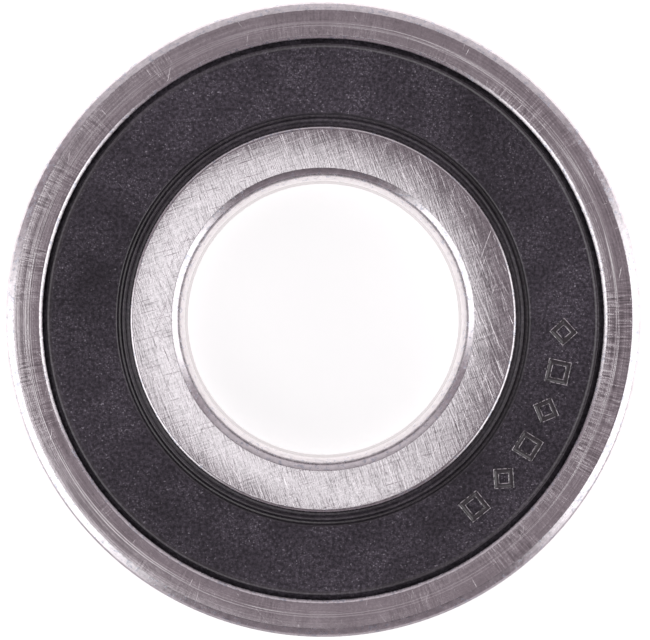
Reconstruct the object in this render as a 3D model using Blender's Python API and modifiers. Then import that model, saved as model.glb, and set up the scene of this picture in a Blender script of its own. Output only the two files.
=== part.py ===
# Single-row deep groove ball bearing with a rubber seal on each side, as it comes apart on a bench.
# Lengths are in metres, +Z is the bearing's axis, and the origin is the middle of the bearing.

import math

import bmesh
import bpy

MM = 0.001

# Boundary dimensions: bore x outside diameter x width.
BORE_DIAMETER = 35.0 * MM
OUTSIDE_DIAMETER = 80.0 * MM
WIDTH = 21.0 * MM

# Each ring's corner is a sloping band beside the flat face, and a radius from there to the cylinder.
CORNER_SLOPE = 35.0
OUTER_CORNER_WIDTH = 1.15 * MM
OUTER_BAND_WIDTH = 0.65 * MM
BORE_CORNER_WIDTH = 1.55 * MM
BORE_BAND_WIDTH = 0.53 * MM

# The ball set.
BALL_COUNT = 8
BALL_DIAMETER = 13.494 * MM
PITCH_DIAMETER = 57.5 * MM
RUNNING_GAP = 0.15 * MM

# Raceway grooves, as a share of the ball's diameter, and the shoulders that they are cut into.
OUTER_GROOVE_SHARE = 0.530
INNER_GROOVE_SHARE = 0.519
OUTER_SHOULDER_RADIUS = 32.8 * MM
INNER_LAND_RADIUS = 24.75 * MM
SHOULDER_BREAK = 0.2 * MM

# Seal seat in the outer ring: a chamfered mouth, an undercut for the bead, and a ledge below it.
MOUTH_RADIUS = 35.3 * MM
MOUTH_CHAMFER = 0.4 * MM
MOUTH_DEPTH = 0.8 * MM
UNDERCUT_RADIUS = 36.2 * MM
UNDERCUT_TOP = 9.2 * MM
UNDERCUT_FOOT = 8.5 * MM
LEDGE_RADIUS = 35.6 * MM
LEDGE_HEIGHT = 8.0 * MM

# Seal track on the inner ring.
TRACK_RADIUS = 24.3 * MM
TRACK_FOOT = 8.45 * MM
EDGE_BREAK = 0.3 * MM

# Seal: a bare-backed steel washer held in a rubber channel, with a bead outside and a lip inside.
SEAL_FACE_HEIGHT = 10.0 * MM
SEAL_FOOT_HEIGHT = 8.3 * MM
SEAL_RIM_RADIUS = 34.75 * MM
SEAL_RIM_ROUNDING = 0.25 * MM
SEAL_RIM_WIDTH = 0.85 * MM
SEAL_RIM_FALL = 0.07 * MM
BEAD_NECK_HEIGHT = 9.45 * MM
BEAD_RADIUS = 35.9 * MM
BEAD_HEIGHT = 8.8 * MM
BEAD_HALF_HEIGHT = 0.2 * MM
SEAL_STEP_RADIUS = 26.3 * MM
SEAL_STEP_SLOPE = 0.2 * MM
LIP_TOP_HEIGHT = 9.45 * MM
LIP_TIP_RADIUS = 24.5 * MM
LIP_TIP_FOOT = 9.05 * MM
LIP_ROOT_RADIUS = 25.9 * MM
INSERT_THICKNESS = 0.5 * MM
INSERT_HEIGHT = 9.0 * MM
INSERT_INNER_RADIUS = 26.7 * MM
INSERT_OUTER_RADIUS = 34.4 * MM
CHANNEL_LAP = 0.9 * MM
BONDED_GAP = 0.1 * MM

# Cage: two pressed halves that hold the balls in spherical pockets, riveted between the pockets.
CAGE_SHEET = 1.0 * MM
CAGE_INNER_RADIUS = 25.4 * MM
CAGE_OUTER_RADIUS = 32.1 * MM
CAGE_HALF_GAP = 0.05 * MM
POCKET_RADIUS = 7.1 * MM
RIVET_RADIUS = 0.9 * MM
RIVET_HOLE_RADIUS = 1.0 * MM
RIVET_HEAD_RADIUS = 1.7 * MM
RIVET_HEAD_HEIGHT = 0.8 * MM

# How finely the round shapes are divided.
RING_STEPS = 48
GROOVE_STEPS = 8
CORNER_STEPS = 3
BALL_SEGMENTS = 16
BALL_RINGS = 8
RIVET_STEPS = 10
RIVET_HEAD_STEPS = 2
MERGE_DISTANCE = 0.01 * MM
SHARP_ANGLE = math.radians(35)

HALF_WIDTH = WIDTH / 2
BALL_RADIUS = BALL_DIAMETER / 2
PITCH_RADIUS = PITCH_DIAMETER / 2
BALL_PITCH_ANGLE = 2 * math.pi / BALL_COUNT
POCKET_CREST = POCKET_RADIUS + CAGE_SHEET
LAND_HEIGHT = CAGE_HALF_GAP + CAGE_SHEET

# Colour, roughness and metallic value of each finish.
FINISHES = {
    "ground_ring_steel": ((0.58, 0.55, 0.56), 0.30, 1.0),
    "polished_ball_steel": ((0.74, 0.74, 0.76), 0.08, 1.0),
    "pressed_cage_steel": ((0.46, 0.44, 0.42), 0.38, 1.0),
    "rivet_steel": ((0.55, 0.53, 0.50), 0.32, 1.0),
    "seal_insert_steel": ((0.40, 0.40, 0.42), 0.45, 1.0),
    "seal_rubber": ((0.046, 0.040, 0.048), 0.75, 0.0),
}


def clear_scene():
    for item in list(bpy.data.objects):
        bpy.data.objects.remove(item)


def new_collection(name):
    collection = bpy.data.collections.new(name)
    bpy.context.scene.collection.children.link(collection)
    return collection


def make_materials():
    materials = {}
    for name, (colour, roughness, metallic) in FINISHES.items():
        material = bpy.data.materials.new(name)
        material.use_nodes = True
        shader = material.node_tree.nodes["Principled BSDF"]
        shader.inputs["Base Color"].default_value = (*colour, 1.0)
        shader.inputs["Roughness"].default_value = roughness
        shader.inputs["Metallic"].default_value = metallic
        materials[name] = material
    return materials


# An arc of a turned outline, as (radius, height) points, both ends included.
def arc(centre_radius, centre_height, radius, start_degrees, end_degrees, steps):
    points = []
    for step in range(steps + 1):
        angle = math.radians(start_degrees + (end_degrees - start_degrees) * step / steps)
        points.append((centre_radius + radius * math.cos(angle), centre_height + radius * math.sin(angle)))
    return points


# A ring's corner on the upper side, from its flat face to its cylinder. way is 1 on the outside diameter
# and -1 in the bore, where the corner runs the other way.
def corner_outline(cylinder_radius, way, corner_width, band_width):
    slope = math.radians(CORNER_SLOPE)
    radius = (corner_width - band_width) / (1 - math.sin(slope))
    band_foot = HALF_WIDTH - band_width * math.tan(slope)
    centre_height = band_foot - radius * math.cos(slope)
    rounding = arc(0, centre_height, radius, 90 - CORNER_SLOPE, 0, CORNER_STEPS)
    points = [(corner_width, HALF_WIDTH)] + [(radius - across, height) for across, height in rounding]
    return [(cylinder_radius - way * inset, height) for inset, height in points][::way]


# Completes an outline that is drawn for the upper half only. A point on the mid-plane stays single.
def mirrored_outline(upper):
    lower = [(radius, -height) for radius, height in reversed(upper) if height > MERGE_DISTANCE]
    return upper + lower


# Replaces an object's mesh by what its modifiers make of it, shaded smooth between sharp edges.
def settle(item):
    graph = bpy.context.evaluated_depsgraph_get()
    mesh = bpy.data.meshes.new_from_object(item.evaluated_get(graph))
    item.modifiers.clear()
    item.data = mesh
    mesh.shade_smooth()
    mesh.set_sharp_from_angle(angle=SHARP_ANGLE)


# Turns an outline of (radius, height) points about the Z axis.
def turned(name, outline, collection, steps, closed=True):
    vertices = [(radius, 0, height) for radius, height in outline]
    edges = [(index, index + 1) for index in range(len(outline) - 1)]
    if closed:
        edges.append((len(outline) - 1, 0))
    mesh = bpy.data.meshes.new(name)
    mesh.from_pydata(vertices, edges, [])
    item = bpy.data.objects.new(name, mesh)
    collection.objects.link(item)
    screw = item.modifiers.new("turning", "SCREW")
    screw.axis = "Z"
    screw.angle = 2 * math.pi
    screw.steps = steps
    screw.render_steps = steps
    screw.use_merge_vertices = True
    screw.merge_threshold = MERGE_DISTANCE
    settle(item)
    return item


def sphere_mesh(name, radius):
    mesh = bpy.data.meshes.new(name)
    sphere = bmesh.new()
    bmesh.ops.create_uvsphere(sphere, u_segments=BALL_SEGMENTS, v_segments=BALL_RINGS, radius=radius)
    sphere.to_mesh(mesh)
    sphere.free()
    return mesh


def cylinder_mesh(name, radius, depth, segments):
    mesh = bpy.data.meshes.new(name)
    cylinder = bmesh.new()
    bmesh.ops.create_cone(
        cylinder, cap_ends=True, segments=segments, radius1=radius, radius2=radius, depth=depth
    )
    cylinder.to_mesh(mesh)
    cylinder.free()
    return mesh


def copy_of(source, name, collection):
    item = bpy.data.objects.new(name, source.data)
    collection.objects.link(item)
    return item


def new_empty(name, collection):
    empty = bpy.data.objects.new(name, None)
    empty.empty_display_size = HALF_WIDTH
    collection.objects.link(empty)
    return empty


def paint(item, material):
    item.data.materials.clear()
    item.data.materials.append(material)


def place(item, parent, location=(0, 0, 0), rotation=(0, 0, 0)):
    item.parent = parent
    item.location = location
    item.rotation_euler = rotation


# A point on the pitch circle.
def on_pitch_circle(angle):
    return (PITCH_RADIUS * math.cos(angle), PITCH_RADIUS * math.sin(angle), 0)


def ball_angle(index):
    return index * BALL_PITCH_ANGLE


def rivet_angle(index):
    return (index + 0.5) * BALL_PITCH_ANGLE


def make_outer_ring(collection):
    groove = OUTER_GROOVE_SHARE * BALL_DIAMETER
    groove_centre = PITCH_RADIUS + BALL_RADIUS + RUNNING_GAP - groove
    groove_reach = math.degrees(math.acos((OUTER_SHOULDER_RADIUS - groove_centre) / groove))
    raceway = arc(groove_centre, 0, groove, 0, groove_reach, GROOVE_STEPS // 2)
    seat = [
        (OUTER_SHOULDER_RADIUS, LEDGE_HEIGHT - SHOULDER_BREAK),
        (OUTER_SHOULDER_RADIUS + SHOULDER_BREAK, LEDGE_HEIGHT),
        (LEDGE_RADIUS, LEDGE_HEIGHT),
        (UNDERCUT_RADIUS, UNDERCUT_FOOT),
        (UNDERCUT_RADIUS, UNDERCUT_TOP),
        (MOUTH_RADIUS, HALF_WIDTH - MOUTH_DEPTH),
        (MOUTH_RADIUS, HALF_WIDTH - MOUTH_CHAMFER),
        (MOUTH_RADIUS + MOUTH_CHAMFER, HALF_WIDTH),
    ]
    corner = corner_outline(OUTSIDE_DIAMETER / 2, 1, OUTER_CORNER_WIDTH, OUTER_BAND_WIDTH)
    return turned("outer_ring", mirrored_outline(raceway + seat + corner), collection, RING_STEPS)


def make_inner_ring(collection):
    corner = corner_outline(BORE_DIAMETER / 2, -1, BORE_CORNER_WIDTH, BORE_BAND_WIDTH)
    track = [
        (TRACK_RADIUS - EDGE_BREAK, HALF_WIDTH),
        (TRACK_RADIUS, HALF_WIDTH - EDGE_BREAK),
        (TRACK_RADIUS, TRACK_FOOT),
        (INNER_LAND_RADIUS, TRACK_FOOT - (INNER_LAND_RADIUS - TRACK_RADIUS)),
    ]
    groove = INNER_GROOVE_SHARE * BALL_DIAMETER
    groove_centre = PITCH_RADIUS - BALL_RADIUS - RUNNING_GAP + groove
    groove_reach = math.degrees(math.acos((groove_centre - INNER_LAND_RADIUS) / groove))
    raceway = arc(groove_centre, 0, groove, 180 - groove_reach, 180, GROOVE_STEPS // 2)
    return turned("inner_ring", mirrored_outline(corner + track + raceway), collection, RING_STEPS)


def seal_rubber_outline():
    channel_top = INSERT_HEIGHT + INSERT_THICKNESS / 2 + BONDED_GAP
    channel_foot = INSERT_HEIGHT - INSERT_THICKNESS / 2 - BONDED_GAP
    channel_outside = INSERT_OUTER_RADIUS + BONDED_GAP
    channel_inside = INSERT_INNER_RADIUS - BONDED_GAP
    rim_height = SEAL_FACE_HEIGHT - SEAL_RIM_FALL
    rim = [
        (SEAL_RIM_RADIUS - SEAL_RIM_WIDTH, SEAL_FACE_HEIGHT),
        (SEAL_RIM_RADIUS - SEAL_RIM_ROUNDING, rim_height),
        (SEAL_RIM_RADIUS, rim_height - SEAL_RIM_ROUNDING),
    ]
    bead = [
        (SEAL_RIM_RADIUS, BEAD_NECK_HEIGHT),
        (BEAD_RADIUS, BEAD_HEIGHT + BEAD_HALF_HEIGHT),
        (BEAD_RADIUS, BEAD_HEIGHT - BEAD_HALF_HEIGHT),
        (MOUTH_RADIUS, SEAL_FOOT_HEIGHT),
    ]
    channel = [
        (channel_outside - CHANNEL_LAP, SEAL_FOOT_HEIGHT),
        (channel_outside - CHANNEL_LAP, channel_foot),
        (channel_outside, channel_foot),
        (channel_outside, channel_top),
        (channel_inside, channel_top),
        (channel_inside, channel_foot),
        (channel_inside + CHANNEL_LAP, channel_foot),
        (channel_inside + CHANNEL_LAP, SEAL_FOOT_HEIGHT),
    ]
    lip = [
        (LIP_ROOT_RADIUS, SEAL_FOOT_HEIGHT),
        (LIP_TIP_RADIUS, LIP_TIP_FOOT),
        (LIP_TIP_RADIUS, LIP_TOP_HEIGHT),
        (SEAL_STEP_RADIUS - SEAL_STEP_SLOPE, LIP_TOP_HEIGHT),
        (SEAL_STEP_RADIUS, SEAL_FACE_HEIGHT),
    ]
    return rim + bead + channel + lip


def make_seal_rubber(collection):
    return turned("seal_rubber_front", seal_rubber_outline(), collection, RING_STEPS)


def make_seal_insert(collection):
    top = INSERT_HEIGHT + INSERT_THICKNESS / 2
    foot = INSERT_HEIGHT - INSERT_THICKNESS / 2
    outline = [
        (INSERT_OUTER_RADIUS, top),
        (INSERT_OUTER_RADIUS, foot),
        (INSERT_INNER_RADIUS, foot),
        (INSERT_INNER_RADIUS, top),
    ]
    return turned("seal_insert_front", outline, collection, RING_STEPS)


def make_ball(collection):
    ball = bpy.data.objects.new("ball_1", sphere_mesh("ball", BALL_RADIUS))
    ball.data.shade_smooth()
    collection.objects.link(ball)
    return ball


def make_rivet(collection):
    head_foot = LAND_HEIGHT + CAGE_HALF_GAP
    dome = arc(0, 0, 1, 90, 0, RIVET_HEAD_STEPS)
    head = [(RIVET_HEAD_RADIUS * across, head_foot + RIVET_HEAD_HEIGHT * up) for across, up in dome]
    upper = [(0, head[0][1])] + head[1:] + [(RIVET_RADIUS, head_foot)]
    return turned("cage_rivet_1", mirrored_outline(upper), collection, RIVET_STEPS, closed=False)


# A set of cutters round the pitch circle, in a collection that one Boolean reads whole.
def cutter_set(name, parent_collection, mesh, angle_of):
    collection = bpy.data.collections.new(name)
    parent_collection.children.link(collection)
    for index in range(BALL_COUNT):
        cutter = bpy.data.objects.new(f"{name}_{index + 1}", mesh)
        collection.objects.link(cutter)
        cutter.location = on_pitch_circle(angle_of(index))
        hide_cutter(cutter)
    return collection


def hide_cutter(cutter):
    cutter.hide_render = True
    cutter.display_type = "WIRE"


def add_boolean(item, operation, target):
    boolean = item.modifiers.new(operation.lower(), "BOOLEAN")
    boolean.solver = "EXACT"
    boolean.operation = operation
    if isinstance(target, bpy.types.Collection):
        boolean.operand_type = "COLLECTION"
        boolean.collection = target
    else:
        boolean.object = target


# The outside of one cage half before it is trimmed: a flat plate with a dome over each ball.
def make_pressed_form(cutters):
    plate_mesh = cylinder_mesh("cage_form", CAGE_OUTER_RADIUS + POCKET_CREST, 2 * LAND_HEIGHT, RING_STEPS)
    form = bpy.data.objects.new("cage_form", plate_mesh)
    cutters.objects.link(form)
    domes = cutter_set("pocket_dome", cutters, sphere_mesh("pocket_dome", POCKET_CREST), ball_angle)
    add_boolean(form, "UNION", domes)
    settle(form)
    hide_cutter(form)
    return form


def make_cage_half(collection, cutters):
    band = [
        (CAGE_OUTER_RADIUS, POCKET_CREST + CAGE_SHEET),
        (CAGE_OUTER_RADIUS, CAGE_HALF_GAP),
        (CAGE_INNER_RADIUS, CAGE_HALF_GAP),
        (CAGE_INNER_RADIUS, POCKET_CREST + CAGE_SHEET),
    ]
    half = turned("cage_half_front", band, collection, RING_STEPS)
    pockets = cutter_set("pocket", cutters, sphere_mesh("pocket", POCKET_RADIUS), ball_angle)
    hole_mesh = cylinder_mesh("rivet_hole", RIVET_HOLE_RADIUS, 4 * LAND_HEIGHT, RIVET_STEPS)
    holes = cutter_set("rivet_hole", cutters, hole_mesh, rivet_angle)
    add_boolean(half, "INTERSECT", make_pressed_form(cutters))
    add_boolean(half, "DIFFERENCE", pockets)
    add_boolean(half, "DIFFERENCE", holes)
    settle(half)
    return half


def main():
    clear_scene()
    parts = new_collection("ball_bearing")
    cutters = new_collection("cutters")
    materials = make_materials()
    housing_side = new_empty("housing_side", parts)
    cage_turn = new_empty("cage_turn", parts)

    outer_ring = make_outer_ring(parts)
    paint(outer_ring, materials["ground_ring_steel"])
    place(outer_ring, housing_side)

    inner_ring = make_inner_ring(parts)
    paint(inner_ring, materials["ground_ring_steel"])

    # Each of these lies on the front side, and its copy is turned over for the back.
    turn_over = (math.pi, 0, 0)
    for front, finish, parent in (
        (make_seal_rubber(parts), "seal_rubber", housing_side),
        (make_seal_insert(parts), "seal_insert_steel", housing_side),
        (make_cage_half(parts, cutters), "pressed_cage_steel", cage_turn),
    ):
        paint(front, materials[finish])
        place(front, parent)
        back = copy_of(front, front.name.replace("front", "back"), parts)
        place(back, parent, rotation=turn_over)

    ball = make_ball(parts)
    paint(ball, materials["polished_ball_steel"])
    rivet = make_rivet(parts)
    paint(rivet, materials["rivet_steel"])
    for index in range(BALL_COUNT):
        this_ball = ball if index == 0 else copy_of(ball, f"ball_{index + 1}", parts)
        this_rivet = rivet if index == 0 else copy_of(rivet, f"cage_rivet_{index + 1}", parts)
        place(this_ball, cage_turn, on_pitch_circle(ball_angle(index)))
        place(this_rivet, cage_turn, on_pitch_circle(rivet_angle(index)), (0, 0, rivet_angle(index)))


main()
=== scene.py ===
import math

import bmesh
import bpy
from mathutils import Matrix, Vector


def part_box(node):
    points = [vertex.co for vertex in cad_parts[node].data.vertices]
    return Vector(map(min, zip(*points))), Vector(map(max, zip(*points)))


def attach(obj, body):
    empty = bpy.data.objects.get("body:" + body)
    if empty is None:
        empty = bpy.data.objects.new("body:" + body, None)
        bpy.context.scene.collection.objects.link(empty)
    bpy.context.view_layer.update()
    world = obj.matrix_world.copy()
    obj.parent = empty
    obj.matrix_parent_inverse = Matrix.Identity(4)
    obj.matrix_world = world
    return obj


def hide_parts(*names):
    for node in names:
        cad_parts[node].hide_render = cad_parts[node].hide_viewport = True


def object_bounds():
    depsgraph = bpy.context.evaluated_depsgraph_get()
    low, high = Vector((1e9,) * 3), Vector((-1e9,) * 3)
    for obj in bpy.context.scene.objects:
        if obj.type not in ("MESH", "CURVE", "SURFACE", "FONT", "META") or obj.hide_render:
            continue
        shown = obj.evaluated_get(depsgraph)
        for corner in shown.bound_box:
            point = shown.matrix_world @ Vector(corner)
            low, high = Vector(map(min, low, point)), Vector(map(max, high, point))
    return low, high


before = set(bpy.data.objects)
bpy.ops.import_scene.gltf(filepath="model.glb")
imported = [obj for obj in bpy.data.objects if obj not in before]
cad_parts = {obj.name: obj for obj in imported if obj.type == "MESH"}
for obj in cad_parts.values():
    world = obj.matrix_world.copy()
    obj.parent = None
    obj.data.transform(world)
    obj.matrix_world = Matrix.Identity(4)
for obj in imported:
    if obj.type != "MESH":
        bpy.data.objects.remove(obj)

cadBox = [list(corner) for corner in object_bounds()]
mm = 0.001
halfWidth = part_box("outer_ring")[1].z / mm  # the rings' flat faces stand at plus and minus this
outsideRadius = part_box("outer_ring")[1].x / mm
fullTurn = 2 * math.pi


# shader maths: a node's output that can be added, multiplied and so on
class Shade:
    def __init__(self, tree, output=None):
        self.tree = tree
        self.output = output

    # any node: its type, its settings, then what its sockets hold or are linked to
    def add(self, kind, settings=None, inputs=None, take=0):
        made = self.tree.nodes.new(kind)
        for name, value in (settings or {}).items():
            setattr(made, name, value)
        for name, value in (inputs or {}).items():
            if isinstance(value, Shade):
                self.tree.links.new(value.output, made.inputs[name])
            else:
                made.inputs[name].default_value = value
        return Shade(self.tree, made.outputs[take])

    def maths(self, operation, first, second=0.0):
        return self.add("ShaderNodeMath", {"operation": operation}, {0: first, 1: second})

    def __add__(self, other):
        return self.maths("ADD", self, other)

    def __sub__(self, other):
        return self.maths("SUBTRACT", self, other)

    def __rsub__(self, other):
        return self.maths("SUBTRACT", other, self)

    def __mul__(self, other):
        return self.maths("MULTIPLY", self, other)

    def __truediv__(self, other):
        return self.maths("DIVIDE", self, other)

    def __pow__(self, other):
        return self.maths("POWER", self, other)

    __radd__ = __add__
    __rmul__ = __mul__

    # 0 at low, 1 at high, eased between them; low may be the larger of the two
    def between(self, low, high):
        settings = {"interpolation_type": "SMOOTHSTEP"}
        return self.add("ShaderNodeMapRange", settings, {"Value": self, "From Min": low, "From Max": high})

    # this factor's mix of two colours
    def mix(self, low, high):
        sides = [(*side, 1.0) if isinstance(side, tuple) else side for side in (low, high)]
        inputs = {0: self, 6: sides[0], 7: sides[1]}
        return self.add("ShaderNodeMix", {"data_type": "RGBA"}, inputs, take=2)

    # a colour made lighter or darker by a value
    def scaled(self, value):
        return self.add("ShaderNodeVectorMath", {"operation": "SCALE"}, {0: self, "Scale": value})

    def axes(self):
        return [self.add("ShaderNodeSeparateXYZ", None, {0: self}, take=axis) for axis in range(3)]

    def feed(self, shader, socket):
        self.tree.links.new(self.output, shader.inputs[socket])


# where a point lies on the object, in millimetres
def pointsOf(shade):
    place = shade.add("ShaderNodeTexCoord", take="Object")
    return place.add("ShaderNodeMapping", None, {"Vector": place, "Scale": (1 / mm, 1 / mm, 1 / mm)})


def noiseOf(points, size=1.0, detail=2.0, roughness=0.5, offset=0.0):
    moved = {"Vector": points, "Location": (offset, offset * 0.7, offset * 1.3)}
    placed = points.add("ShaderNodeMapping", None, moved)
    inputs = {"Vector": placed, "Scale": 1 / size, "Detail": detail, "Roughness": roughness}
    return points.add("ShaderNodeTexNoise", None, inputs)


# straight grain at an angle across the whole piece: each streak is length long and width wide
def straightGrain(points, angle, length, width, detail=2.0, offset=0.0):
    stretch = {"Vector": points, "Rotation": (0, 0, math.radians(angle)), "Scale": (length, width, length)}
    stretched = points.add("ShaderNodeMapping", {"vector_type": "TEXTURE"}, stretch)
    return noiseOf(stretched, 1.0, detail, 0.55, offset)


# the distance from the axis, and a point that stretches round it without a seam
def polarOf(points):
    x, y, z = points.axes()
    radius = (x * x + y * y) ** 0.5
    return radius, x / radius, y / radius, z


# grain that runs round the axis: each streak is length long and width wide, at about the given radius
def roundGrain(points, across, length, width, around, detail=2.0, offset=0.0):
    cosine, sine = polarOf(points)[1:3]
    lap = around / length
    vector = points.add("ShaderNodeCombineXYZ", None, {0: cosine * lap, 1: sine * lap, 2: across / width})
    return noiseOf(vector, 1.0, detail, 0.55, offset)


def bumpOf(height, filterWidth=0.1):  # the height is in millimetres
    inputs = {"Strength": 1.0, "Distance": mm, "Filter Width": filterWidth, "Height": height}
    return height.add("ShaderNodeBump", None, inputs)


def newMaterial(name, constants):
    material = bpy.data.materials.new(name)
    material.use_nodes = True
    shader = material.node_tree.nodes["Principled BSDF"]
    for socket, value in constants.items():
        shader.inputs[socket].default_value = value
    return material, shader, Shade(material.node_tree)


# an outline of (radius, height, rounding) corners, in millimetres, each corner bevelled to its own
# rounding, then spun about the axis; an open outline starts and ends on the axis
def turnedPiece(name, outline, steps, roundingSteps=3, closed=True):
    shape = bmesh.new()
    corners = [shape.verts.new((radius * mm, 0, height * mm)) for radius, height, rounding in outline]
    for first, second in zip(corners, corners[1:] + corners[:1]):
        if closed or second is not corners[0]:
            shape.edges.new((first, second))
    for corner, (radius, height, rounding) in zip(corners, outline):
        if rounding > 0:
            bmesh.ops.bevel(
                shape, geom=[corner], offset=rounding * mm, segments=roundingSteps, profile=0.5,
                affect="VERTICES", offset_type="OFFSET", material=-1,
            )
    bmesh.ops.spin(
        shape, geom=shape.verts[:] + shape.edges[:], cent=(0, 0, 0), axis=(0, 0, 1),
        angle=fullTurn, steps=steps, use_merge=True,
    )
    closeUp(shape)
    return finishPiece(name, shape)


def closeUp(shape):
    bmesh.ops.remove_doubles(shape, verts=shape.verts, dist=0.0005 * mm)
    bmesh.ops.recalc_face_normals(shape, faces=shape.faces)


def finishPiece(name, shape, sharpAngle=40):
    mesh = bpy.data.meshes.new(name)
    shape.to_mesh(mesh)
    shape.free()
    mesh.shade_smooth()
    mesh.set_sharp_from_angle(angle=math.radians(sharpAngle))
    piece = bpy.data.objects.new(name, mesh)
    bpy.context.scene.collection.objects.link(piece)
    return piece


# an arc of an outline, as sharp corners close together
def arcOf(centreRadius, centreHeight, radius, start, end, steps):
    points = []
    for step in range(steps + 1):
        angle = math.radians(start + (end - start) * step / steps)
        across = centreRadius + radius * math.cos(angle)
        points.append((across, centreHeight + radius * math.sin(angle), 0))
    return points


# the upper half of an outline, and its lower half mirrored; a point at mid-height stays single
def mirroredOutline(upper):
    lower = [(radius, -height, rounding) for radius, height, rounding in reversed(upper) if height > 0.01]
    return upper + lower


# gives a piece its body and hides the CAD nodes that it stands for; the slot is not used
def fitPiece(piece, body, slot, *nodes):
    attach(piece, body)
    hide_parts(*nodes)


def copyOf(piece, name, transform):
    mesh = piece.data.copy()
    mesh.name = name
    mesh.transform(transform)
    if transform.determinant() < 0:
        mesh.flip_normals()
    copy = bpy.data.objects.new(name, mesh)
    bpy.context.scene.collection.objects.link(copy)
    return copy


# the material of each face, from the distance to the axis and the height of its middle
def paintByPlace(piece, materials, choose):
    for material in materials:
        piece.data.materials.append(material)
    for face in piece.data.polygons:
        middle = face.center / mm
        face.material_index = choose(math.hypot(middle.x, middle.y), abs(middle.z))


# the two rings, in millimetres and degrees
rings = {
    "steps": 240,
    "racewaySteps": 14,
    "cornerSteps": 10,
    "cornerSlope": 35.0,
    "outerCorner": 1.15,
    "outerBand": 0.75,
    "boreRadius": 17.5,
    "boreCorner": 1.55,
    "boreBand": 0.53,
    "boreStretch": 2.0,
    "pitchRadius": 28.75,
    "ballRadius": 6.747,
    "runningGap": 0.15,
    "outerGroove": 7.152,
    "innerGroove": 7.003,
    "outerShoulder": 32.8,
    "innerLand": 24.75,
    "mouthRadius": 35.3,
    "mouthChamfer": 0.4,
    "seatOpening": 35.6,
    "seatRadius": 36.2,
    "seatHeights": (8.0, 8.5, 9.2, 9.7),
    "trackRadius": 24.3,
    "trackFoot": 8.45,
    "landTop": 8.0,
    "edgeBreak": 0.3,
    "outerFace": (35.76, 38.84),  # the flat faces reach from one radius to the other
    "innerFace": (19.06, 23.99),
    "cornerFoot": 6.0,  # below this height a ring's side is a cylinder or a raceway
}


# a ring's corner: the sloping band beside the flat face, then a curve that is stretched along the axis;
# way is -1 in the bore
def ringCorner(cylinder, way, width, band, stretch):
    slope = math.radians(rings["cornerSlope"])
    foot = halfWidth - band * math.tan(slope)
    start = math.atan(math.tan(slope) / stretch)
    radius = (width - band) / (1 - math.sin(start))
    points = [(width, halfWidth, 0.04)]
    centre = -math.cos(start) * radius
    for across, drop, sharp in arcOf(0, centre, radius, 90 - math.degrees(start), 0, rings["cornerSteps"]):
        points.append((radius - across, foot + drop * stretch, sharp))
    return [(cylinder - way * inset, height, soft) for inset, height, soft in points][::way]


def outerOutline():
    groove = rings["outerGroove"]
    centre = rings["pitchRadius"] + rings["ballRadius"] + rings["runningGap"] - groove
    reach = math.degrees(math.acos((rings["outerShoulder"] - centre) / groove))
    raceway = arcOf(centre, 0, groove, 0, reach, rings["racewaySteps"])
    mouth = rings["mouthRadius"]
    shoulderTop, seatFoot, seatTop, mouthFoot = rings["seatHeights"]
    seat = [
        (rings["outerShoulder"], shoulderTop, 0.2),
        (rings["seatOpening"], shoulderTop, 0.1),
        (rings["seatRadius"], seatFoot, 0.1),
        (rings["seatRadius"], seatTop, 0.1),
        (mouth, mouthFoot, 0.06),
        (mouth, halfWidth - rings["mouthChamfer"], 0.03),
        (mouth + rings["mouthChamfer"], halfWidth, 0.04),
    ]
    corner = ringCorner(outsideRadius, 1, rings["outerCorner"], rings["outerBand"], 1.0)
    return mirroredOutline(raceway + seat + corner)


def innerOutline():
    groove = rings["innerGroove"]
    centre = rings["pitchRadius"] - rings["ballRadius"] - rings["runningGap"] + groove
    reach = math.degrees(math.acos((centre - rings["innerLand"]) / groove))
    raceway = arcOf(centre, 0, groove, 180 - reach, 180, rings["racewaySteps"])
    track = rings["trackRadius"]
    edge = [
        (track - rings["edgeBreak"], halfWidth, 0.18),
        (track, halfWidth - rings["edgeBreak"], 0.1),
        (track, rings["trackFoot"], 0.1),
        (rings["innerLand"], rings["landTop"], 0.1),
    ]
    corner = ringCorner(rings["boreRadius"], -1, rings["boreCorner"], rings["boreBand"], rings["boreStretch"])
    return mirroredOutline(corner + edge + raceway)


# marks on a ground face, in millimetres: length and width, or one size; a rise is the pair of noise
# values between which a mark goes from nothing to full
groundMarks = {
    "around": 37,  # the radius at which the lengths round the axis hold
    "lathe": (26, 0.2),
    "cross": (0.22, 2.2),
    "nick": (0.14, 3.5),
    "streak": (24, 0.15),
    "patch": 9.0,
    "cloud": 3.0,
    "spot": 0.3,
    "patchRise": (0.42, 0.62),
    "streakRise": (0.46, 0.62),
    "streakReach": (0.5, 0.1),  # a streak has gone, and is full, this far from its radius
    "scratchRise": 0.1,
    "nickRise": 0.06,
    # how much lighter the scratches and nicks are painted: a painted highlight
    "scratchHighlight": 0.3,
    "darker": 0.95,
    "roughByCloud": 0.12,
    "roughByMarks": 0.3,
}
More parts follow.
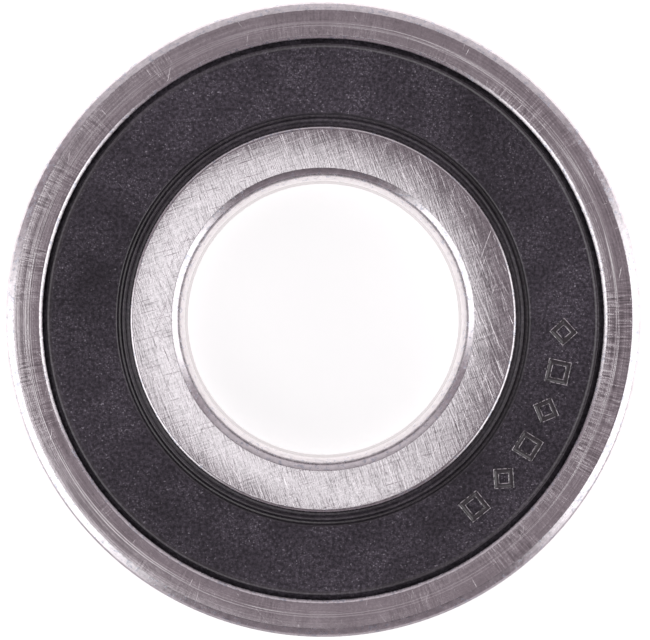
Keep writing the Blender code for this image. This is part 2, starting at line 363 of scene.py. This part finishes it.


# flat ground face: the wheel's fine hatch, sharper scratches over it, marks along and across the lay,
# soft stains, a slight lean and crown that set where the face catches the light, and painted highlights on
# the scratches and on the marks at the sides
def faceSteel(name, look):
    material, shader, shade = newMaterial(name, {"Metallic": 1.0})
    points = pointsOf(shade)
    radius, cosine = polarOf(points)[:2]
    size = groundMarks
    around = size["around"]
    hatch = 0.0
    for angle, length, width, amount, offset in look["hatch"]:
        grain = straightGrain(points, angle, length, width, detail=2.0, offset=offset)
        hatch = hatch + (grain - 0.5) * amount
    scratches = 0.0
    for angle, length, width, rarity, amount, offset in look["scratches"]:
        grain = straightGrain(points, angle, length, width, detail=1.0, offset=offset)
        scratches = scratches + grain.between(rarity, rarity + size["scratchRise"]) * amount
    patches = noiseOf(points, size["patch"], detail=2.0, roughness=0.5, offset=6.0)
    patches = patches.between(*size["patchRise"])
    lathe = roundGrain(points, radius, *size["lathe"], around, detail=2.0, offset=4.0)
    lathe = (lathe - 0.5) * look["lathe"]
    cross = roundGrain(points, radius, *size["cross"], around, detail=2.0, offset=9.0)
    cross = (cross - 0.5) * patches * look["cross"]
    nicks = roundGrain(points, radius, *size["nick"], around, detail=1.0, offset=21.0)
    nicks = nicks.between(look["nickRarity"], look["nickRarity"] + size["nickRise"])
    away = radius - look["streakRadius"]
    away = away.maths("ABSOLUTE", away)
    streaks = roundGrain(points, radius, *size["streak"], around, detail=1.0, offset=11.0)
    streaks = streaks.between(*size["streakRise"]) * away.between(*size["streakReach"])
    x, y = points.axes()[:2]
    lean = x * look["leanX"] + y * look["leanY"] + radius * look["crown"]
    cloud = noiseOf(points, size["cloud"], detail=4.0, roughness=0.65, offset=2.0)
    spots = noiseOf(points, size["spot"], detail=2.0, roughness=0.6, offset=5.0)
    # the marks are painted stronger towards the left and right sides, where they catch the side lamps: a
    # painted highlight, with their bump deeper there too
    sideHighlightAndRelief = cosine * cosine * look["sideHighlightAndRelief"] + (1 - look["sideHighlightAndRelief"] / 2)
    marks = (hatch + lathe + cross) * sideHighlightAndRelief
    lines = (scratches + nicks * look["nicks"]) * sideHighlightAndRelief
    tone = (cloud - 0.5) * look["stain"] + (spots - 0.5) * look["spots"] + marks * look["tone"] + 1.0
    # scratches and nicks are painted lighter than the steel round them: a painted highlight beside their bump
    bright = tone + lines * size["scratchHighlight"] + streaks * look["streaks"]
    stained = tuple(part * size["darker"] for part in look["colour"])
    cloud.mix(look["colour"], stained).scaled(bright).feed(shader, "Base Color")
    rough = (cloud - 0.5) * size["roughByCloud"] + look["roughness"] + marks * size["roughByMarks"]
    rough.feed(shader, "Roughness")
    bumpOf((marks + lines) * look["depth"] + streaks * look["streakDepth"] + lean).feed(shader, "Normal")
    return material


# what every turned or ground side has in common; lengths and sizes in millimetres
turnedMarks = {
    "length": 30,
    "around": 30,
    "cloud": 1.2,
    "stain": 0.5,
    "lines": 0.5,
    "darker": 0.93,
    "roughByLines": 0.25,
    "roughByCloud": 0.1,
}


# a turned or ground surface whose marks run round the axis
def turnedSteel(name, look, alongHeight):
    material, shader, shade = newMaterial(name, {"Metallic": 1.0})
    points = pointsOf(shade)
    size = turnedMarks
    across = polarOf(points)[3 if alongHeight else 0]
    lines = roundGrain(points, across, size["length"], look["width"], size["around"], detail=3.0, offset=7.0)
    cloud = noiseOf(points, size["cloud"], detail=4.0, roughness=0.7, offset=5.0)
    tone = (cloud - 0.5) * size["stain"] + (lines - 0.5) * size["lines"] + 1.0
    stained = tuple(part * size["darker"] for part in look["colour"])
    cloud.mix(look["colour"], stained).scaled(tone).feed(shader, "Base Color")
    rough = (lines - 0.5) * size["roughByLines"] + (cloud - 0.5) * size["roughByCloud"] + look["roughness"]
    rough.feed(shader, "Roughness")
    bumpOf((lines - 0.5) * look["depth"]).feed(shader, "Normal")
    return material


# the rings' corners: turned, tumbled against other parts, and nicked where they meet the flat face
def cornerFinish(name, look):
    material, shader, shade = newMaterial(name, {"Metallic": 1.0})
    points = pointsOf(shade)
    radius = polarOf(points)[0]
    lines = roundGrain(points, radius, *look["line"], look["around"], detail=2.0, offset=7.0)
    mottle = noiseOf(points, look["mottleSize"], detail=4.0, roughness=0.65, offset=5.0)
    chips = noiseOf(points, look["chipSize"], detail=3.0, roughness=0.6, offset=14.0)
    chips = chips.between(look["chipRarity"], look["chipRarity"] + look["chipRise"])
    height = points.axes()[2]
    height = height.maths("ABSOLUTE", height)
    ragged = noiseOf(points, look["raggedSize"], detail=3.0, roughness=0.7, offset=17.0)
    ragged = ragged.between(*look["raggedRise"]) * height.between(halfWidth - look["raggedDrop"], halfWidth)
    tone = (mottle - 0.5) * look["mottle"] + (lines - 0.5) * look["lines"] + 1.0 - ragged * look["ragged"]
    steel = chips.mix(look["colour"], look["chipColour"])
    steel.scaled(tone).feed(shader, "Base Color")
    rough = (mottle - 0.5) * look["roughByMottle"] + chips * look["roughByChips"] + look["roughness"]
    rough.feed(shader, "Roughness")
    bumpOf((mottle - 0.5) * look["depth"] + (chips + ragged) * look["chipDepth"]).feed(shader, "Normal")
    return material


# which finish a ring's face gets: flat face, corner or mouth, cylinder, or raceway
def ringFinish(faceRadii, isCylinder):
    low, high = faceRadii

    def choose(radius, height):
        if height > halfWidth - 0.002 and low < radius < high:
            return 0
        if height > rings["cornerFoot"]:
            return 1
        return 2 if isCylinder(radius) else 3
    return choose


# hatch: angle, length, width, amount, offset; scratches have their rarity before the amount
outerFaceLook = {
    "colour": (0.78, 0.75, 0.77),
    "hatch": [(84, 4, 0.17, 0.18, 0.0), (-58, 3, 0.16, 0.3, 9.0)],
    "scratches": [(80, 4, 0.16, 0.74, 1.3, 3.0), (-50, 3, 0.15, 0.75, 1.3, 6.0)],
    "lathe": 0.95,
    "cross": 2.0,
    # how much stronger the marks are painted at the left and right sides: a painted highlight
    "sideHighlightAndRelief": 1.2,
    "nicks": 1.8,
    "nickRarity": 0.76,
    "streakRadius": 37.1,
    "streaks": 1.2,
    "streakDepth": 0.008,
    "leanX": -0.055,
    "leanY": -0.014,
    "crown": 0.0,
    "stain": 0.5,
    "spots": 0.5,
    "tone": 0.7,
    "roughness": 0.19,
    "depth": 0.012,
}
innerFaceLook = {
    "colour": (0.70, 0.68, 0.70),
    "hatch": [(-68, 6, 0.18, 1.3, 0.0), (20, 4, 0.2, 0.9, 3.0), (-80, 5, 0.14, 0.9, 15.0)],
    "scratches": [
        (-70, 9, 0.16, 0.66, 1.6, 7.0),
        (-60, 7, 0.14, 0.68, 1.4, 12.0),
        (16, 6, 0.16, 0.68, 1.2, 1.0),
        (-38, 8, 0.15, 0.72, 1.5, 24.0),
        (70, 8, 0.14, 0.70, 1.4, 31.0),
    ],
    "lathe": 0.15,
    "cross": 0.0,
    "sideHighlightAndRelief": 0.0,
    "nicks": 0.0,
    "nickRarity": 0.8,
    "streakRadius": 0.0,
    "streaks": 0.0,
    "streakDepth": 0.0,
    "leanX": 0.07,
    "leanY": 0.03,
    "crown": -0.07,
    "stain": 0.3,
    "spots": 0.6,
    "tone": 0.8,
    "roughness": 0.16,
    "depth": 0.014,
}
cornerLook = {
    "colour": (0.70, 0.68, 0.70),
    "line": (20, 0.2),
    "around": 30,
    "lines": 0.3,
    "mottleSize": 0.8,
    "mottle": 0.9,
    "chipSize": 0.6,
    "chipRarity": 0.56,
    "chipRise": 0.08,
    "chipColour": (0.58, 0.60, 0.66),
    "chipDepth": 0.004,
    "ragged": 0.35,
    "raggedSize": 0.5,
    "raggedRise": (0.5, 0.62),
    "raggedDrop": 0.16,
    "roughness": 0.2,
    "roughByMottle": 0.3,
    "roughByChips": 0.12,
    "depth": 0.012,
}
# depth and width of the marks are in millimetres
# the cylinders' steel is coloured darker than the faces' steel, a painted shade that holds down their
# reflection of the bright floor
shadedCylinderLook = {"colour": (0.50, 0.49, 0.505), "roughness": 0.3, "depth": 0.004, "width": 0.3}
racewayLook = {"colour": (0.66, 0.64, 0.64), "roughness": 0.1, "depth": 0.0008, "width": 0.15}

outerFace = faceSteel("ground_face_outer", outerFaceLook)
innerFace = faceSteel("ground_face_inner", innerFaceLook)
cornerSteel = cornerFinish("turned_corner", cornerLook)
shadedCylinderSteel = turnedSteel("ground_cylinder_painted_shade", shadedCylinderLook, True)
racewaySteel = turnedSteel("honed_raceway", racewayLook, True)

outerRing = turnedPiece("outer_ring_ground", outerOutline(), rings["steps"])
paintByPlace(
    outerRing, [outerFace, cornerSteel, shadedCylinderSteel, racewaySteel],
    ringFinish(rings["outerFace"], lambda radius: radius > outsideRadius - 2),
)
fitPiece(outerRing, "outer", "ring_steel", "outer_ring")
innerRing = turnedPiece("inner_ring_ground", innerOutline(), rings["steps"])
paintByPlace(
    innerRing, [innerFace, cornerSteel, shadedCylinderSteel, racewaySteel],
    ringFinish(rings["innerFace"], lambda radius: radius < rings["boreRadius"] + 1.5),
)
fitPiece(innerRing, "inner", "ring_steel", "inner_ring")
print("rings turned")


# the seals, in millimetres
seal = {
    "steps": 240,
    "face": 10.0,
    "foot": 8.3,
    "rimRadius": 34.75,
    "stepRadius": 26.15,
    "lipTop": 9.45,
    "lipTip": 24.36,
    "insertHeight": 9.0,
    "insertThickness": 0.5,
    "insertInner": 26.7,
    "insertOuter": 34.4,
    "insertCorner": 0.06,
    "channelGap": 0.1,  # between the washer and the rubber round it
    "lap": 0.9,  # how far the rubber reaches under the washer's edges
}

# the raised marks, in millimetres and degrees
mark = {
    "radius": 30.25,
    "count": 6,
    "pitch": 9.6,
    "first": -3.0,
    "rim": 0.62,
    "wall": 0.06,
    "height": 0.28,
    "sunk": 0.1,
    "edgeRounding": 0.1,
    "lozenge": 1.75,  # half its width from corner to corner
    "square": 1.45,  # half its side
}
insertTop = seal["insertHeight"] + seal["insertThickness"] / 2
insertFoot = seal["insertHeight"] - seal["insertThickness"] / 2


# the rubber's section as corners of radius, height and rounding: the rim, down into the ring's seat,
# round the washer's channel, then the lip with its ridge and groove, and up the step to the face
def rubberOutline():
    face = seal["face"]
    rim = seal["rimRadius"]
    lip = seal["lipTop"]
    channelTop = insertTop + seal["channelGap"]
    channelFoot = insertFoot - seal["channelGap"]
    outside = seal["insertOuter"] + seal["channelGap"]
    inside = seal["insertInner"] - seal["channelGap"]
    lap = seal["lap"]
    return [
        (34.0, face, 0.1),
        (34.2, face - 0.03, 0.05),
        (34.45, face + 0.02, 0.06),
        (rim, face - 0.02, 0.14),
        (rim, 9.45, 0.1),
        (35.9, 9.05, 0.15),
        (35.9, 8.6, 0.15),
        (35.3, seal["foot"], 0.1),
        (outside - lap, seal["foot"], 0.1),
        (outside - lap, channelFoot, 0.04),
        (outside, channelFoot, 0.04),
        (outside, channelTop, 0.04),
        (inside, channelTop, 0.04),
        (inside, channelFoot, 0.04),
        (inside + lap, channelFoot, 0.04),
        (inside + lap, seal["foot"], 0.1),
        (25.9, seal["foot"], 0.15),
        (seal["lipTip"], 9.0, 0.06),
        (seal["lipTip"], lip - 0.15, 0.06),
        (24.7, lip - 0.1, 0.1),
        (25.0, lip + 0.3, 0.08),
        (25.25, lip + 0.3, 0.08),
        (25.45, lip - 0.3, 0.08),
        (25.8, lip - 0.35, 0.08),
        (25.95, face - 0.1, 0.06),
        (seal["stepRadius"], face, 0.08),
    ]


# sizes in millimetres; a rise is the pair of noise values between which a thing goes from nothing to full
rubberLook = {
    "dark": (0.037, 0.033, 0.042),
    "light": (0.112, 0.100, 0.125),
    "dust": (0.37, 0.355, 0.40),
    "clump": 0.42,
    "clumpRise": (0.36, 0.68),
    "grit": 0.2,
    "gritRise": (0.55, 0.72),
    "dustRise": (0.42, 0.68),
    "cloud": 5.0,
    "drift": 24.0,
    "fleck": 0.34,
    "fleckRise": (0.70, 0.78),
    "lipEdge": (26.2, 26.0),  # the smooth lip begins, and is all smooth, at these radii
    "rimEdge": (34.1, 34.3),
    "clouding": 0.8,
    "drifting": 1.2,
    "tone": 1.05,
    "smoothTone": 0.3,
    "smoothDust": 0.6,
    "smoothClumps": 0.8,
    "roughness": 0.5,
    "roughByClumps": 0.5,
    "clumpHeight": 0.05,
    "gritHeight": 0.025,
}
# the marks' rubber; its light colour is a painted highlight on the crests' rounded edges
markHighlightLook = {
    "dark": (0.026, 0.023, 0.028),
    "light": (0.86, 0.83, 0.87),
    "wearAndHighlight": 0.5,
    "edgeHighlightRise": (0.4, 0.6),
    "roughness": 0.2,
    "roughByWear": 0.2,
    "wearHeight": 0.02,
}
washerLook = {"colour": (0.40, 0.40, 0.42), "roughness": 0.42, "depth": 0.004, "width": 0.5}


# moulded rubber: dull, a little dusty, speckled in small clumps, and glossier where the lip and rim stand
def rubberMaterial(look):
    constants = {"Specular IOR Level": 0.25, "Coat Roughness": 0.22, "Coat IOR": 1.8}
    material, shader, shade = newMaterial("moulded_rubber", constants)
    points = pointsOf(shade)
    radius = polarOf(points)[0]
    clumps = noiseOf(points, look["clump"], detail=3.0, roughness=0.7, offset=1.0)
    grit = noiseOf(points, look["grit"], detail=2.0, roughness=0.6, offset=8.0)
    cloud = noiseOf(points, look["cloud"], detail=3.0, roughness=0.6, offset=3.0)
    smooth = radius.between(*look["lipEdge"]) + radius.between(*look["rimEdge"])
    drift = noiseOf(points, look["drift"], detail=1.0, roughness=0.5, offset=13.0)
    flecks = noiseOf(points, look["fleck"], detail=1.0, roughness=0.5, offset=27.0)
    flecks = flecks.between(*look["fleckRise"])
    dusted = (clumps + (cloud - 0.5) * look["clouding"]).between(*look["dustRise"])
    dust = grit.between(*look["gritRise"]) * dusted + flecks
    rubber = clumps.between(*look["clumpRise"]).mix(look["dark"], look["light"])
    dusty = (dust * (1 - smooth * look["smoothDust"])).mix(rubber, look["dust"])
    tone = (cloud - 0.5) * look["clouding"] + (drift - 0.5) * look["drifting"] + look["tone"]
    dusty.scaled(tone - smooth * look["smoothTone"]).feed(shader, "Base Color")
    (look["roughness"] + (clumps - 0.5) * look["roughByClumps"]).feed(shader, "Roughness")
    smooth.feed(shader, "Coat Weight")
    lumps = (clumps - 0.5) * look["clumpHeight"] * (1 - smooth * look["smoothClumps"])
    bumpOf(lumps + grit * look["gritHeight"]).feed(shader, "Normal")
    return material


# the marks' rubber: dark, glossy crests with a painted highlight in patches along their rounded edges; the
# same noise varies the roughness and the bump
def markRubberPaintedHighlight(look):
    constants = {"Specular IOR Level": 0.5, "Coat Weight": 1.0, "Coat IOR": 1.7, "Coat Roughness": 0.16}
    material, shader, shade = newMaterial("mark_rubber_painted_highlight", constants)
    points = pointsOf(shade)
    height = points.axes()[2]
    crest = seal["face"] + mark["height"]
    edge = height.between(crest - 0.002, crest - mark["edgeRounding"] * 0.3)
    wearAndHighlight = noiseOf(points, look["wearAndHighlight"], detail=3.0, roughness=0.6, offset=4.0)
    # painted highlight: patches of the rounded crest edges are coloured light
    edgeHighlight = wearAndHighlight.between(*look["edgeHighlightRise"]) * edge
    edgeHighlight.mix(look["dark"], look["light"]).feed(shader, "Base Color")
    (look["roughness"] + wearAndHighlight * look["roughByWear"]).feed(shader, "Roughness")
    bumpOf(wearAndHighlight * look["wearHeight"]).feed(shader, "Normal")
    return material


# one raised outline: a flat shape raised to a block, then hollowed inside its rim with a steep wall
def raisedMark(shape, corners, angle):
    flat = [shape.verts.new((across * mm, out * mm, 0)) for across, out in corners]
    face = shape.faces.new(flat)
    raised = bmesh.ops.extrude_face_region(shape, geom=[face], use_keep_orig=True)["geom"]
    top = [part for part in raised if isinstance(part, bmesh.types.BMFace)]
    bmesh.ops.translate(shape, verts=top[0].verts, vec=(0, 0, (mark["sunk"] + mark["height"]) * mm))
    block = set(flat) | set(top[0].verts)
    for width in (mark["rim"], mark["wall"]):
        bmesh.ops.inset_individual(shape, faces=top, thickness=width * mm, use_even_offset=True)
        block |= set(top[0].verts)
    bmesh.ops.translate(shape, verts=top[0].verts, vec=(0, 0, -(mark["height"] + mark["sunk"] / 2) * mm))
    place = Matrix.Rotation(math.radians(angle - 90), 4, "Z")
    lift = Matrix.Translation((0, mark["radius"] * mm, (seal["face"] - mark["sunk"]) * mm))
    bmesh.ops.transform(shape, matrix=place @ lift, verts=list(block))


# lozenges and square frames in turn
def markCorners(index):
    if index % 2 == 0:
        half = mark["lozenge"]
        return [(0, -half), (half, 0), (0, half), (-half, 0)]
    half = mark["square"]
    return [(-half, -half), (half, -half), (half, half), (-half, half)]


rubber = rubberMaterial(rubberLook)
sealFront = turnedPiece("seal_rubber_moulded_front", rubberOutline(), seal["steps"])
sealFront.data.materials.append(rubber)
turnOver = Matrix.Rotation(math.pi, 4, "X")
sealBack = copyOf(sealFront, "seal_rubber_moulded_back", turnOver)
fitPiece(sealFront, "outer", "seal_rubber", "seal_rubber_front")
fitPiece(sealBack, "outer", "seal_rubber", "seal_rubber_back")

marks = bmesh.new()
for index in range(mark["count"]):
    raisedMark(marks, markCorners(index), mark["first"] - index * mark["pitch"])
closeUp(marks)
crest = (seal["face"] + mark["height"] - 0.01) * mm
crestEdges = [edge for edge in marks.edges if min(vert.co.z for vert in edge.verts) > crest]
bmesh.ops.bevel(
    marks, geom=crestEdges, offset=mark["edgeRounding"] * mm, segments=3, profile=0.5,
    affect="EDGES", material=-1,
)
markPiece = finishPiece("seal_marks_raised", marks)
markPiece.data.materials.append(markRubberPaintedHighlight(markHighlightLook))
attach(markPiece, "outer")

insertOutline = [
    (seal["insertOuter"], insertTop, seal["insertCorner"]),
    (seal["insertOuter"], insertFoot, seal["insertCorner"]),
    (seal["insertInner"], insertFoot, seal["insertCorner"]),
    (seal["insertInner"], insertTop, seal["insertCorner"]),
]
insertFront = turnedPiece("seal_washer_front", insertOutline, seal["steps"])
insertFront.data.materials.append(turnedSteel("washer_steel", washerLook, False))
insertBack = copyOf(insertFront, "seal_washer_back", turnOver)
fitPiece(insertFront, "outer", "insert_steel", "seal_insert_front")
fitPiece(insertBack, "outer", "insert_steel", "seal_insert_back")
print("seals moulded")


# balls, cage and rivets, in millimetres
cage = {
    "inner": 25.4,
    "outer": 32.1,
    "sheet": 1.0,
    "halfGap": 0.05,
    "pocket": 7.1,
    "rivetRadius": 0.9,
    "headRadius": 1.7,
    "headHeight": 0.8,
    "headSteps": 8,
    "count": 8,
    "domeSteps": 16,
    "landSteps": 6,
    "acrossSteps": 10,
    "softenBelow": 1.2,  # how far above the flat land the bend into the dome is softened
    "softenTurns": 3,
}
ballLook = {
    "dark": (0.72, 0.72, 0.74),
    "light": (0.78, 0.78, 0.79),
    "haze": 2.5,
    "nick": 0.35,
    "nickRise": (0.70, 0.78),
    "roughness": 0.06,
    "roughByHaze": 0.05,
    "roughByNicks": 0.2,
    "nickHeight": -0.004,
    "around": 64,
    "downwards": 32,
}
cageLook = {
    "light": (0.50, 0.48, 0.46),
    "dark": (0.40, 0.38, 0.36),
    "rolled": (12, 12, 0.25),  # angle, length and width
    "rolling": 0.3,
    "stain": 3.0,
    "roughness": 0.3,
    "roughByStain": 0.18,
    "rolledHeight": 0.008,
    "stainHeight": 0.01,
}
rivetLook = {"colour": (0.55, 0.53, 0.50), "roughness": 0.3, "depth": 0.004, "width": 0.3}
pitch = rings["pitchRadius"]


def ballMaterial(look):
    material, shader, shade = newMaterial("polished_ball", {"Metallic": 1.0})
    points = pointsOf(shade)
    haze = noiseOf(points, look["haze"], detail=3.0, roughness=0.6, offset=6.0)
    nicks = noiseOf(points, look["nick"], detail=1.0, roughness=0.5, offset=2.0).between(*look["nickRise"])
    haze.mix(look["dark"], look["light"]).feed(shader, "Base Color")
    rough = look["roughness"] + haze * look["roughByHaze"] + nicks * look["roughByNicks"]
    rough.feed(shader, "Roughness")
    bumpOf(nicks * look["nickHeight"]).feed(shader, "Normal")
    return material


# pressed strip, with the faint lines of its rolling and soft stains
def cageMaterial(look):
    material, shader, shade = newMaterial("pressed_cage", {"Metallic": 1.0})
    points = pointsOf(shade)
    rolled = straightGrain(points, *look["rolled"], detail=3.0, offset=1.0)
    stain = noiseOf(points, look["stain"], detail=4.0, roughness=0.6, offset=4.0)
    tone = (rolled - 0.5) * look["rolling"] + 1.0
    stain.mix(look["light"], look["dark"]).scaled(tone).feed(shader, "Base Color")
    (look["roughness"] + stain * look["roughByStain"]).feed(shader, "Roughness")
    bumpOf((rolled - 0.5) * look["rolledHeight"] + stain * look["stainHeight"]).feed(shader, "Normal")
    return material


ballSteel = ballMaterial(ballLook)
for index in range(cage["count"]):
    angle = index * fullTurn / cage["count"]
    ball = bmesh.new()
    bmesh.ops.create_uvsphere(
        ball, u_segments=ballLook["around"], v_segments=ballLook["downwards"],
        radius=rings["ballRadius"] * mm,
    )
    centre = (pitch * mm * math.cos(angle), pitch * mm * math.sin(angle), 0)
    bmesh.ops.translate(ball, verts=ball.verts, vec=centre)
    piece = finishPiece(f"ball_{index + 1}_polished", ball, 180)
    piece.data.materials.append(ballSteel)
    fitPiece(piece, f"ball_{index + 1}_body", "ball_steel", f"ball_{index + 1}")

# one pocket's share of the pressed strip is a grid, domed over its ball, then repeated round the axis
cageSteel = cageMaterial(cageLook)
landMiddle = cage["halfGap"] + cage["sheet"] / 2
domeRadius = cage["pocket"] + cage["sheet"] / 2
halfShare = math.pi / cage["count"]
domeSteps = cage["domeSteps"]
landSteps = cage["landSteps"]


# the angle at which the dome comes down to the flat land, at one radius
def footAngle(radius):
    reach = domeRadius * domeRadius - landMiddle * landMiddle
    return math.acos((radius * radius + pitch * pitch - reach) / (2 * radius * pitch))


# a point of the strip's middle sheet; along counts grid steps from the pocket's middle, either way
def pocketPoint(along, radius):
    step = abs(along)
    foot = footAngle(radius)
    if step <= domeSteps:
        angle = foot * math.sin(math.pi / 2 * step / domeSteps)
    else:
        angle = foot + (halfShare - foot) * (step - domeSteps) / landSteps
    flat = radius * radius + pitch * pitch - 2 * radius * pitch * math.cos(angle)
    height = math.sqrt(max(domeRadius * domeRadius - flat, landMiddle * landMiddle))
    angle = math.copysign(angle, along)
    return Vector((radius * math.cos(angle), radius * math.sin(angle), height)) * mm


def cageHalf(name):
    shape = bmesh.new()
    reach = domeSteps + landSteps
    bmesh.ops.create_grid(shape, x_segments=2 * reach, y_segments=cage["acrossSteps"], size=1.0)
    for vert in shape.verts:
        radius = cage["inner"] + (cage["outer"] - cage["inner"]) * (vert.co.y + 1) / 2
        vert.co = pocketPoint(round(vert.co.x * reach), radius)
    bmesh.ops.spin(
        shape, geom=shape.faces[:], cent=(0, 0, 0), axis=(0, 0, 1), angle=fullTurn,
        steps=cage["count"], use_duplicate=True,
    )
    bmesh.ops.remove_doubles(shape, verts=shape.verts, dist=0.01 * mm)
    bend = (landMiddle + cage["softenBelow"]) * mm
    creased = [vert for vert in shape.verts if vert.co.z < bend and not vert.is_boundary]
    for turn in range(cage["softenTurns"]):
        bmesh.ops.smooth_vert(shape, verts=creased, factor=0.5, use_axis_z=True)
    bmesh.ops.recalc_face_normals(shape, faces=shape.faces)
    for vert in shape.verts:  # out to the sheet's outer side, since solidify thickens inwards
        vert.co += vert.normal * cage["sheet"] / 2 * mm
    bmesh.ops.solidify(shape, geom=shape.faces[:], thickness=cage["sheet"] * mm)
    bmesh.ops.recalc_face_normals(shape, faces=shape.faces)
    for vert in shape.verts:  # the halves meet face to face and don't pass through each other
        vert.co.z = max(vert.co.z, cage["halfGap"] * mm)
    return finishPiece(name, shape, 50)


cageFront = cageHalf("cage_pressed_front")
cageFront.data.materials.append(cageSteel)
cageBack = copyOf(cageFront, "cage_pressed_back", turnOver)
fitPiece(cageFront, "cage", "cage_steel", "cage_half_front")
fitPiece(cageBack, "cage", "cage_steel", "cage_half_back")

rivetSteel = turnedSteel("rivet_wire", rivetLook, False)
headFoot = 2 * cage["halfGap"] + cage["sheet"]
dome = arcOf(0, 0, 1, 90, 0, cage["headSteps"])
head = [(cage["headRadius"] * out, headFoot + cage["headHeight"] * up, sharp) for out, up, sharp in dome]
rivetUpper = [(0, head[0][1], 0)] + head[1:] + [(cage["rivetRadius"], headFoot, 0)]
for index in range(cage["count"]):
    angle = (index + 0.5) * fullTurn / cage["count"]
    rivet = turnedPiece(f"rivet_{index + 1}_closed", mirroredOutline(rivetUpper), 32, closed=False)
    rivet.data.transform(Matrix.Translation((pitch * mm * math.cos(angle), pitch * mm * math.sin(angle), 0)))
    rivet.data.materials.append(rivetSteel)
    fitPiece(rivet, "cage", "rivet_steel", f"cage_rivet_{index + 1}")
print("balls, cage and rivets in")


# floor, light and camera; what the floor shows and what it throws on to the bearing are set apart
studio = {
    "floorHalf": 1500,  # millimetres
    "floorDrop": 0.05,
    "floorRoughness": 0.6,
    "floorTone": (0.8, 0.8, 0.8),
    "floorGlow": 1.0,
    "floorShown": (0.74, 0.74, 0.74),
    "floorThrow": (0.97, 0.92, 0.91),
    "low": 0.44,
    "zenith": 0.25,
    "zenithFrom": 0.8,
    "backdrop": (1.0, 1.0, 1.0),  # the sky where it is seen past the floor
    "tint": (1.0, 0.84, 0.93),
    "lamps": [
        # azimuth, half width, foot, top, edge softness (degrees), strength
        (202, 29, -3, 38, 12, 1.5),
        (349, 29, -3, 38, 12, 1.5),
        (90, 50, 5, 28, 10, 0.4),
    ],
    "card": (270, 44, 8, 50, 8, 0.36),  # as the lamps, but the last is the share of light it takes away
    "spots": [
        # azimuth, elevation, radius, edge softness (degrees), strength
        (187, 73, 12.5, 3.5, 1.05),
        (256, 71, 7.0, 4.0, 1.15),
    ],
    "cardEdge": (-30, -46),  # where the thrown light darkens, towards the near side, in millimetres
    "cardTone": (0.14, 0.12, 0.13),
}


# 1 within a patch of the sky, eased to 0 at its edges
def skyPatch(x, y, z, azimuth, half, foot, top, soft):
    turn = math.radians(azimuth)
    facing = (x * math.cos(turn) + y * math.sin(turn)) / (x * x + y * y) ** 0.5
    sides = facing.between(math.cos(math.radians(half + soft)), math.cos(math.radians(half - soft)))
    lower = z.between(math.sin(math.radians(foot - soft)), math.sin(math.radians(foot + soft)))
    upper = z.between(math.sin(math.radians(top + soft)), math.sin(math.radians(top - soft)))
    return sides * lower * upper


def studioWorld():
    world = bpy.data.worlds.new("studio")
    bpy.context.scene.world = world
    world.use_nodes = True
    shade = Shade(world.node_tree)
    direction = shade.add("ShaderNodeTexCoord", take="Generated")
    x, y, z = direction.axes()
    room = z.between(0.0, studio["zenithFrom"]) * (studio["zenith"] - studio["low"]) + studio["low"]
    *cardPatch, cardShare = studio["card"]
    room = room * (1 - skyPatch(x, y, z, *cardPatch) * cardShare)
    lamps = 0.0
    for azimuth, half, foot, top, soft, strength in studio["lamps"]:
        lamps = lamps + skyPatch(x, y, z, azimuth, half, foot, top, soft) * strength
    for azimuth, elevation, radius, soft, strength in studio["spots"]:
        turn, rise = math.radians(azimuth), math.radians(elevation)
        aim = (math.cos(turn) * math.cos(rise), math.sin(turn) * math.cos(rise), math.sin(rise))
        dot = {"operation": "DOT_PRODUCT"}
        facing = direction.add("ShaderNodeVectorMath", dot, {0: direction, 1: aim}, take=1)
        spot = facing.between(math.cos(math.radians(radius + soft)), math.cos(math.radians(radius - soft)))
        lamps = lamps + spot * strength
    channels = {index: room * part + lamps for index, part in enumerate(studio["tint"])}
    tone = shade.add("ShaderNodeCombineColor", None, channels)
    seen = shade.add("ShaderNodeLightPath", take="Is Camera Ray")
    seen.mix(tone, studio["backdrop"]).feed(world.node_tree.nodes["Background"], "Color")


def studioFloor():
    shape = bmesh.new()
    bmesh.ops.create_grid(shape, x_segments=1, y_segments=1, size=studio["floorHalf"] * mm)
    bmesh.ops.translate(shape, verts=shape.verts, vec=(0, 0, cadBox[0][2] - studio["floorDrop"] * mm))
    floor = finishPiece("studio_floor", shape)
    constants = {
        "Roughness": studio["floorRoughness"],
        "Base Color": (*studio["floorTone"], 1.0),
        "Emission Strength": studio["floorGlow"],
    }
    material, shader, shade = newMaterial("floor_white", constants)
    outwards = pointsOf(shade).axes()[1]
    thrown = outwards.between(*studio["cardEdge"]).mix(studio["floorThrow"], studio["cardTone"])
    seen = shade.add("ShaderNodeLightPath", take="Is Camera Ray")
    seen.mix(thrown, studio["floorShown"]).feed(shader, "Emission Color")
    floor.data.materials.append(material)


# straight down on the bearing; millimetres
view = {"across": 0.23, "up": -0.09, "distance": 600, "shownWidth": 81.66, "sensor": 36.0}


def lookDown():
    data = bpy.data.cameras.new("camera")
    data.sensor_width = view["sensor"]
    data.lens = view["sensor"] * view["distance"] / view["shownWidth"]
    camera = bpy.data.objects.new("camera", data)
    camera.location = (view["across"] * mm, view["up"] * mm, cadBox[1][2] + view["distance"] * mm)
    bpy.context.scene.collection.objects.link(camera)
    bpy.context.scene.camera = camera


studioWorld()
studioFloor()
lookDown()
bpy.context.scene.view_settings.view_transform = "Standard"
print("floor, light and camera set")
